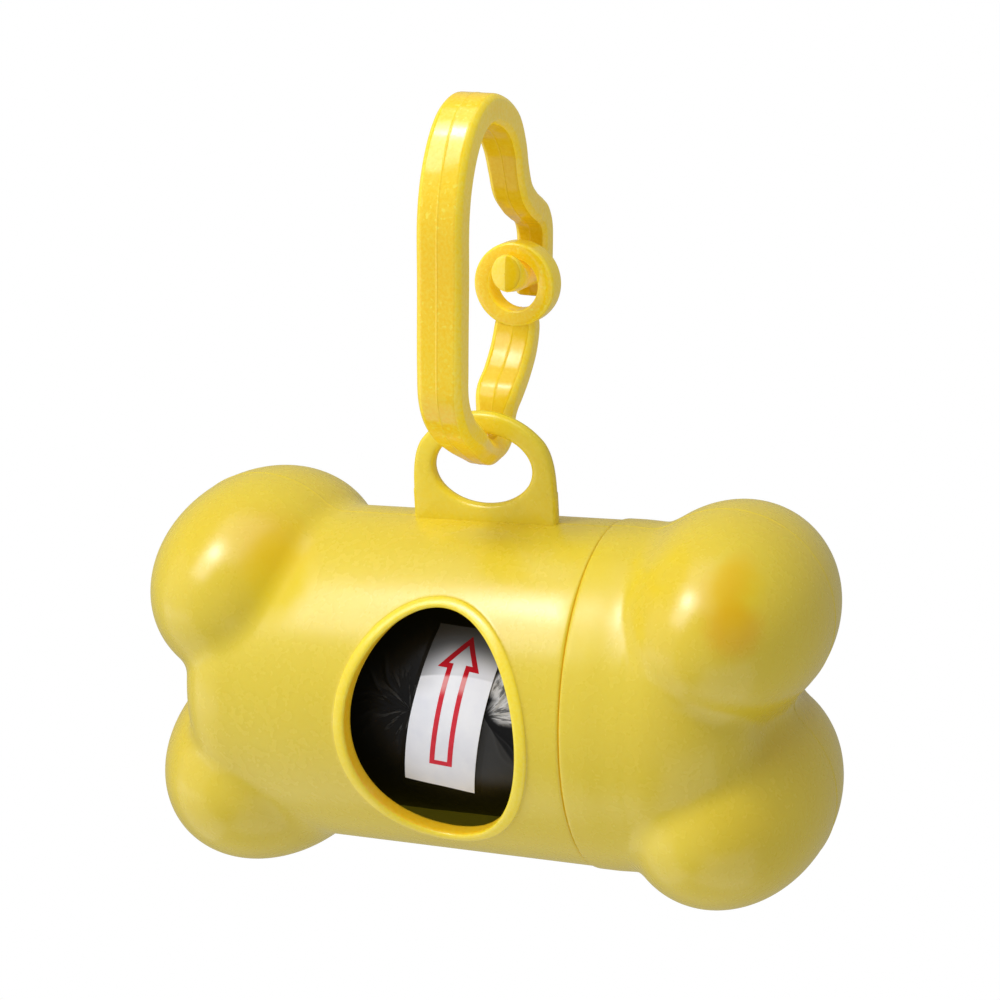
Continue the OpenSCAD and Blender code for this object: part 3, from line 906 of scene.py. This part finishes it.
class Paint:
    """A material and short ways to add its nodes."""

    def __init__(self, name):
        self.material = bpy.data.materials.new(name)
        self.material.use_nodes = True
        self.tree = self.material.node_tree
        self.shader = self.tree.nodes["Principled BSDF"]
        self.coords = self.tree.nodes.new("ShaderNodeTexCoord").outputs["Object"]

    def node(self, kind, **inputs):
        """A new node with its inputs filled."""
        node = self.tree.nodes.new("ShaderNode" + kind)
        self.fill(node, inputs)
        return node

    def fill(self, node, inputs):
        """Links or sets inputs by number or name; a name's underscores stand for spaces."""
        for key, value in inputs.items():
            socket = node.inputs[key.replace("_", " ") if isinstance(key, str) else key]
            if isinstance(value, bpy.types.NodeSocket):
                self.tree.links.new(value, socket)
            else:
                socket.default_value = value

    def set(self, **inputs):
        """Links or sets the shader's own inputs."""
        self.fill(self.shader, inputs)

    def noise(self, scale, detail=2.0, rough=0.5, stretch=None, source=None):
        """Noise over the object's own coordinates, or over another vector."""
        if source is None:
            source = self.coords
        if stretch is not None:
            source = self.node("Mapping", Scale=stretch, Vector=source).outputs["Vector"]
        node = self.node("TexNoise", Scale=scale, Detail=detail, Roughness=rough, Vector=source)
        return node.outputs["Fac"]

    def axis(self, index):
        """One coordinate in millimetres from the drawing's zero point."""
        node = self.node("SeparateXYZ", Vector=self.coords)
        return self.sum(node.outputs[index], 1000.0, -1000.0 * float(MIDDLE[index]))

    def maths(self, operation, *values, kind="Math", output=0):
        """One step of arithmetic on values, which are sockets or numbers."""
        node = self.node(kind)
        node.operation = operation
        self.fill(node, dict(enumerate(values)))
        return node.outputs[output]

    def sum(self, a, b, c):
        """a times b plus c."""
        return self.maths("MULTIPLY_ADD", a, b, c)

    def product(self, a, b):
        """a times b."""
        return self.maths("MULTIPLY", a, b)

    def vector(self, operation, *values, output=0):
        """One step of arithmetic on vectors."""
        return self.maths(operation, *values, kind="VectorMath", output=output)

    def between(self, value, low, high):
        """0 at low, 1 at high, with a soft course between them."""
        node = self.node("MapRange", Value=value, From_Min=low, From_Max=high)
        node.interpolation_type = "SMOOTHSTEP"
        return node.outputs["Result"]

    def ramp(self, value, low, high, a, b):
        """Colour a up to low and colour b from high on, with an even course between them."""
        node = self.node("ValToRGB", Fac=value)
        for point, at, colour in zip(node.color_ramp.elements, (low, high), (a, b)):
            point.position = at
            point.color = colour
        return node.outputs["Color"]

    def mix(self, factor, a, b):
        """Colour a where the factor is 0 and b where it is 1."""
        node = self.node("Mix")
        node.data_type = "RGBA"
        self.fill(node, {0: factor, 6: a, 7: b})
        return node.outputs[2]

    def bump(self, height, strength, distance, below=None):
        """Relief on the shader's normal, on top of an earlier one where that is given."""
        node = self.node("Bump", Strength=strength, Distance=distance, Height=height)
        if below is not None:
            self.fill(node, {"Normal": below})
        self.set(Normal=node.outputs["Normal"])
        return node.outputs["Normal"]


def grey(v):
    """A neutral tone as linear light."""
    return (v, v, v, 1.0)


def spot(paint, centre, radii, blur):
    """1 inside a soft oval spot on the surface and 0 outside it."""
    shift = paint.vector("SUBTRACT", paint.coords, tuple(place(centre)))
    ratio = paint.vector("DIVIDE", shift, tuple(r / 1000 for r in radii))
    length = paint.vector("LENGTH", ratio, output="Value")
    ragged = paint.sum(paint.noise(450, 3.0, 0.7), 0.5, length)
    return paint.between(ragged, 1.25 + blur, 1.25 - blur)


def moulded_yellow(name, painted_patches=(), matte=()):
    """Moulded plastic: soft shifts of tone, fine grain, flakes, painted reflection patches, duller
    places and a painted glow.
    """
    *tones, grain, rough, soft, gloss, glints, painted_glow = YELLOWS[name]
    light, deep, speck = (srgb(*tone) for tone in tones)
    paint = Paint(name)
    tone = paint.ramp(paint.noise(60, 2.0), 0.3, 0.7, deep, light)
    fine = paint.ramp(paint.noise(2600, 1.0, 0.5), 0.3, 0.7, grey(0), grey(1))
    colour = paint.mix(paint.product(fine, grain), tone, speck)
    if glints > 0:
        flakes = paint.ramp(paint.noise(1900, 1.0, 0.5), 0.6, 0.68, grey(0), grey(glints))
        cloud = paint.ramp(paint.noise(160, 2.0), 0.4, 0.6, grey(0), grey(1))
        colour = paint.mix(paint.product(flakes, cloud), colour, speck)
    # Painted reflection: deeper patches where the surface shows no pale reflection of the lights
    for centre, radii, blur, share, patch in painted_patches:
        colour = paint.mix(paint.product(spot(paint, centre, radii, blur), share), colour, patch)
    shine = paint.ramp(paint.noise(700, 2.0), 0.3, 0.7, grey(rough - 0.02), grey(rough + 0.02))
    paint.set(Base_Color=colour, IOR=1.5, Specular_IOR_Level=gloss)
    paint.set(Subsurface_Weight=soft, Subsurface_Radius=(0.0026, 0.0021, 0.0006), Subsurface_Scale=1.0)
    if matte:
        level = gloss
        for centre, radii, blur, share in matte:
            dull = spot(paint, centre, radii, blur)
            level = paint.product(paint.sum(dull, -share, 1.0), level)
            shine = paint.sum(dull, 0.25 * share, shine)
        paint.set(Specular_IOR_Level=level)
    paint.set(Roughness=shine)
    # Painted glow: emission that stands in for light coming through the plastic
    if painted_glow > 0:
        paint.set(Emission_Color=colour, Emission_Strength=painted_glow)
    first = paint.bump(paint.noise(3600, 1.0, 0.5), 0.03, 0.00001)
    paint.bump(paint.noise(120, 1.0), 0.02, 0.0003, first)
    return paint.material


def inner_yellow():
    """The hollow side of the shells, with a painted glow that stands in for light coming through the
    wall.
    """
    paint = Paint("hollow_side_yellow")
    tone = paint.ramp(paint.noise(120, 3.0), 0.35, 0.65, srgb(206, 182, 36), srgb(216, 194, 50))
    paint.set(Base_Color=tone, Roughness=0.5, IOR=1.5)
    # Painted glow
    paint.set(Emission_Color=srgb(210, 198, 54), Emission_Strength=0.055)
    paint.bump(paint.noise(900, 2.0), 0.15, 0.0001)
    return paint.material


def groove_painted_glow():
    """The walls of the seam's narrow gap: amber with a painted glow that stands in for light coming
    through the plastic.
    """
    paint = Paint("seam_gap_painted_glow")
    tone = paint.ramp(paint.noise(700, 3.0), 0.35, 0.65, srgb(222, 160, 20), srgb(236, 186, 30))
    paint.set(Base_Color=tone, Roughness=0.5, IOR=1.5)
    paint.set(Emission_Color=srgb(214, 160, 14), Emission_Strength=0.3)
    paint.bump(paint.noise(900, 2.0), 0.15, 0.0001)
    return paint.material


def fan(paint, centre):
    """Round a pinched place of the film: the angle, the distance in millimetres and ray streaks."""
    dx = paint.sum(paint.axis(0), 1.0, -centre[0])
    dz = paint.sum(paint.axis(2), 1.0, -centre[1])
    angle = paint.maths("ARCTAN2", dz, dx)
    away = paint.maths("SQRT", paint.sum(dx, dx, paint.product(dz, dz)))
    polar = paint.node("CombineXYZ", X=angle, Y=paint.product(away, 0.06))
    return angle, away, paint.noise(5.0, 5.0, 0.6, source=polar.outputs[0])


def film_black():
    """Black film, crumpled and pinched at the label's edges, with a painted grey gleam and streaks at
    the right edge, a painted sheen below it and painted grey streaks at the pinch on the left.
    """
    paint = Paint("glossy_black_film")
    angle, away, folds = fan(paint, (5.0, 2.0))
    # Painted reflection: the grey gleam at the label's right edge
    upper = spot(paint, (7.0, -15.5, 5.3), (1.3, 6.0, 1.5), 0.35)
    lower = spot(paint, (8.0, -16.0, 2.9), (2.0, 6.0, 1.6), 0.35)
    gleam = paint.maths("MAXIMUM", upper, lower)
    ray = paint.product(paint.between(angle, -0.2, -0.12), paint.between(angle, -0.02, -0.1))
    gleam = paint.maths("MAXIMUM", gleam, paint.product(ray, paint.between(away, 0.8, 1.6)))
    streaks = paint.between(folds, 0.42, 0.54)
    # Painted sheen: a dark grey wedge low on the right
    sheen = paint.product(paint.between(angle, -0.98, -1.06), paint.between(angle, -2.2, -1.9))
    sheen = paint.product(sheen, paint.between(paint.axis(2), -8.2, -5.6))
    # Painted reflection: faint grey streaks fanning from the pinch on the left
    _, left_away, left_folds = fan(paint, (-4.3, 1.9))
    left = paint.product(paint.between(left_away, 5.8, 0.8), paint.between(left_folds, 0.53, 0.6))
    front = paint.between(paint.axis(1), -10.0, -12.0)
    black = (0.002, 0.002, 0.0024, 1)
    tone = paint.mix(paint.product(sheen, front), black, grey(0.036))
    tone = paint.mix(paint.product(left, paint.product(front, 0.8)), tone, grey(0.04))
    bright = paint.mix(streaks, grey(0.07), grey(0.66))
    tone = paint.mix(paint.product(gleam, front), tone, bright)
    smooth = paint.maths("MAXIMUM", gleam, paint.product(left, 0.6))
    paint.set(Base_Color=tone, IOR=1.45, Roughness=paint.sum(smooth, -0.2, 0.4))
    paint.set(Specular_IOR_Level=paint.sum(smooth, 0.7, 0.22))
    first = paint.bump(paint.noise(900, 3.0, stretch=(1, 0.5, 0.5)), 0.12, 0.0002)
    second = paint.bump(paint.noise(200, 2.0, stretch=(1.6, 0.6, 0.6)), 0.2, 0.0005, first)
    paint.bump(paint.product(folds, smooth), 0.7, 0.0006, second)
    return paint.material


def shade_line(paint):
    """How many millimetres a point lies above the lower edge of the shade on the label's upper part."""
    off = paint.sum(paint.axis(0), 1.0, -1.5)
    return paint.sum(paint.product(off, off), 0.02, paint.sum(paint.axis(2), 1.0, -6.42))


def coated_paper():
    """White coated paper with painted shade on its upper part, deepest at the top left."""
    paint = Paint("coated_white_paper")
    tone = paint.ramp(paint.noise(300, 3.0), 0.3, 0.7, srgb(236, 238, 247), srgb(248, 249, 254))
    # Painted shade over the label's upper part
    above = shade_line(paint)
    right = paint.between(paint.axis(0), -5.0, 1.0)
    reach = paint.sum(right, -0.7, paint.sum(above, 1.0, 0.7))
    fade = paint.product(paint.between(reach, 3.7, -0.3), paint.sum(right, 0.5, 0.5))
    dark = paint.maths("MINIMUM", paint.sum(fade, 0.83, 0.05), 0.8)
    shade = paint.sum(paint.between(above, -0.12, 0.12), paint.sum(dark, 1.0, -1.0), 1.0)
    # Painted shade: the left side is darker from just under the shade's lower edge upwards
    edge = paint.product(paint.between(above, -2.6, -0.4), paint.sum(right, -0.3, 0.3))
    shade = paint.product(shade, paint.sum(edge, -1.0, 1.0))
    tone = paint.mix(shade, grey(0), tone)
    paint.set(Base_Color=tone, Roughness=0.4, IOR=1.5, Specular_IOR_Level=0.2)
    paint.bump(paint.noise(900, 2.0), 0.08, 0.00005)
    return paint.material


def red_ink():
    """Red print, deeper in the label's painted shade and paler in a painted gleam just under it."""
    paint = Paint("red_print")
    tone = paint.ramp(paint.noise(900, 2.0), 0.3, 0.7, srgb(212, 52, 64), srgb(226, 62, 76))
    above = shade_line(paint)
    # Painted highlight: a pale band just under the shade's edge, and painted shade above it
    painted_gleam = paint.product(paint.between(above, 0.1, -0.3), paint.between(above, -2.4, -1.2))
    tone = paint.mix(paint.product(painted_gleam, 0.6), tone, srgb(244, 190, 190))
    tone = paint.mix(paint.between(above, -0.2, 0.3), tone, srgb(184, 20, 34))
    tone = paint.mix(paint.between(above, 0.3, 3.0), tone, srgb(128, 0, 10))
    paint.set(Base_Color=tone, Roughness=0.5, IOR=1.5, Specular_IOR_Level=0.05)
    return paint.material


def core_board():
    """Grey-brown cardboard with fibres along the tube."""
    paint = Paint("grey_brown_board")
    fibres = paint.noise(500, 4.0, 0.7, stretch=(1, 3, 3))
    tone = paint.ramp(fibres, 0.3, 0.7, srgb(150, 122, 88), srgb(184, 156, 120))
    paint.set(Base_Color=tone, Roughness=0.85)
    paint.bump(paint.noise(1200, 3.0), 0.3, 0.0001)
    return paint.material


# Camera and light


def camera():
    """The camera at the photograph's viewing angle."""
    turn, rise, roll = (math.radians(angle) for angle in CAMERA_ANGLES)
    back = Vector((math.sin(turn) * math.cos(rise), -math.cos(turn) * math.cos(rise), math.sin(rise)))
    right = Vector((math.cos(turn), math.sin(turn), 0))
    up = back.cross(right)
    right2 = right * math.cos(roll) + up * math.sin(roll)
    up2 = up * math.cos(roll) - right * math.sin(roll)
    data = bpy.data.cameras.new("camera")
    data.sensor_width = 36
    data.lens = CAMERA_LENS
    data.clip_start = 0.01
    data.clip_end = 10
    thing = bpy.data.objects.new("camera", data)
    bpy.context.scene.collection.objects.link(thing)
    m = Matrix((right2, up2, back)).transposed().to_4x4()
    m.translation = Vector(place(CAMERA_PLACE))
    thing.matrix_world = m
    bpy.context.scene.camera = thing


def panel(name, azimuth, height, distance, wide, tall, watts):
    """A soft light at a compass angle (0 is the front, 90 the cap's side) and an angle above level."""
    a, e = math.radians(azimuth), math.radians(height)
    way = Vector((math.sin(a) * math.cos(e), -math.cos(a) * math.cos(e), math.sin(e)))
    data = bpy.data.lights.new(name, "AREA")
    data.shape = "RECTANGLE"
    data.size = wide
    data.size_y = tall
    data.energy = watts
    thing = bpy.data.objects.new(name, data)
    bpy.context.scene.collection.objects.link(thing)
    thing.location = Vector(place([0, 0, 0])) + way * distance
    thing.rotation_mode = "QUATERNION"
    thing.rotation_quaternion = way.to_track_quat("Z", "Y")


def surroundings(camera_light, object_light):
    """White where the camera looks past the object, and a weaker white that lights the object."""
    world = bpy.data.worlds.new("white")
    bpy.context.scene.world = world
    world.use_nodes = True
    tree = world.node_tree
    base = tree.nodes["Background"]
    base.inputs["Color"].default_value = grey(1)
    rays = tree.nodes.new("ShaderNodeLightPath")
    strength = tree.nodes.new("ShaderNodeMix")
    strength.inputs[2].default_value = object_light
    strength.inputs[3].default_value = camera_light
    tree.links.new(rays.outputs["Is Camera Ray"], strength.inputs[0])
    tree.links.new(strength.outputs[0], base.inputs["Strength"])


# The model

amber = srgb(230, 176, 0)
gold = srgb(234, 196, 8)
# Painted reflection: deeper amber and gold patches where the lobes show no pale reflection of the
# lights. Centre, radii, blur, share and colour
case_painted_reflections = [
    ((31.0, -15.0, 17.0), (7.0, 6.0, 6.5), 0.8, 0.35, gold),
    ((35.2, -16.4, 15.2), (3.0, 3.4, 2.7), 0.45, 0.65, amber),
    ((33.4, -14.6, 17.2), (2.0, 3.6, 4.0), 0.6, 0.4, amber),
    ((35.0, -13.0, 20.2), (1.6, 3.6, 4.4), 0.7, 0.4, amber),
    ((-27.0, -13.0, 19.0), (8.0, 6.5, 6.5), 0.8, 0.3, gold),
    ((-23.8, -11.8, 20.2), (3.8, 4.5, 4.6), 0.7, 0.3, amber),
    ((33.5, -16.0, -8.0), (5.0, 5.0, 3.4), 0.8, 0.3, gold),
]
# Duller places: centre, radii, blur and share
case_matte = [
    ((-21.6, -13.6, 16.6), (3.6, 4.5, 6.5), 0.5, 0.8),
    ((18.0, -14.0, 15.5), (3.0, 7.0, 6.0), 0.4, 0.35),
    ((34.8, -13.8, 18.6), (2.6, 4.4, 5.0), 0.5, 0.7),
]
case_yellow = moulded_yellow("case_yellow", painted_patches=case_painted_reflections, matte=case_matte)
tab_painted_light_yellow = moulded_yellow("tab_painted_light_yellow")
case_inside = inner_yellow()
case_gap = groove_painted_glow()
rim_painted_light_yellow = moulded_yellow("rim_painted_light_yellow")
rim_wall = moulded_yellow("rim_wall_painted_glow_gold")
clip_face = moulded_yellow("clip_face_gold")
clip_edge = moulded_yellow("clip_edge_painted_light")
clip_inner = moulded_yellow("clip_inner_painted_shade")
clip_side = moulded_yellow("clip_side_painted_light")
clip_skins = [clip_face, clip_edge, clip_inner, clip_side]

case_thing = case_shell([case_yellow, case_inside, case_gap, rim_painted_light_yellow, rim_wall])
thread_thing = thread_ridges(case_yellow)
tab_thing = tab_plate(tab_painted_light_yellow)
cap_thing = cap_shell([case_yellow, case_inside, case_gap])
bar_thing = clip_frame_bar(clip_skins)
peg_thing = clip_peg([clip_inner, clip_side, clip_edge])
arm_thing = clip_gate_arm(clip_skins)
ring_thing = clip_ring([clip_face, clip_edge])
roll_thing = film_roll(film_black())
core_thing = core_tube(core_board())
label_thing = paper_label(coated_paper())
arrow_thing = arrow_print(red_ink())

for thing in (case_thing, thread_thing, tab_thing):
    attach(thing, "case")
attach(cap_thing, "cap")
for thing in (bar_thing, peg_thing):
    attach(thing, "clip")
for thing in (arm_thing, ring_thing):
    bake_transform(thing)
for thing, finish in (
    (roll_thing, "bag_film"),
    (core_thing, "core_board"),
    (label_thing, "label_paper"),
    (arrow_thing, "label_paper"),
):
    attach(thing, "roll")
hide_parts("case_body")
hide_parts("hanging_tab")
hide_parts("end_cap")
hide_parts("clip_frame")
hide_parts("clip_gate")
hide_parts("bag_roll")
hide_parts("roll_core")
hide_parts("paper_label")

camera()
surroundings(camera_light=1.0, object_light=0.36)
for light in LIGHTS:
    panel(*light)
bpy.context.scene.view_settings.view_transform = "Standard"
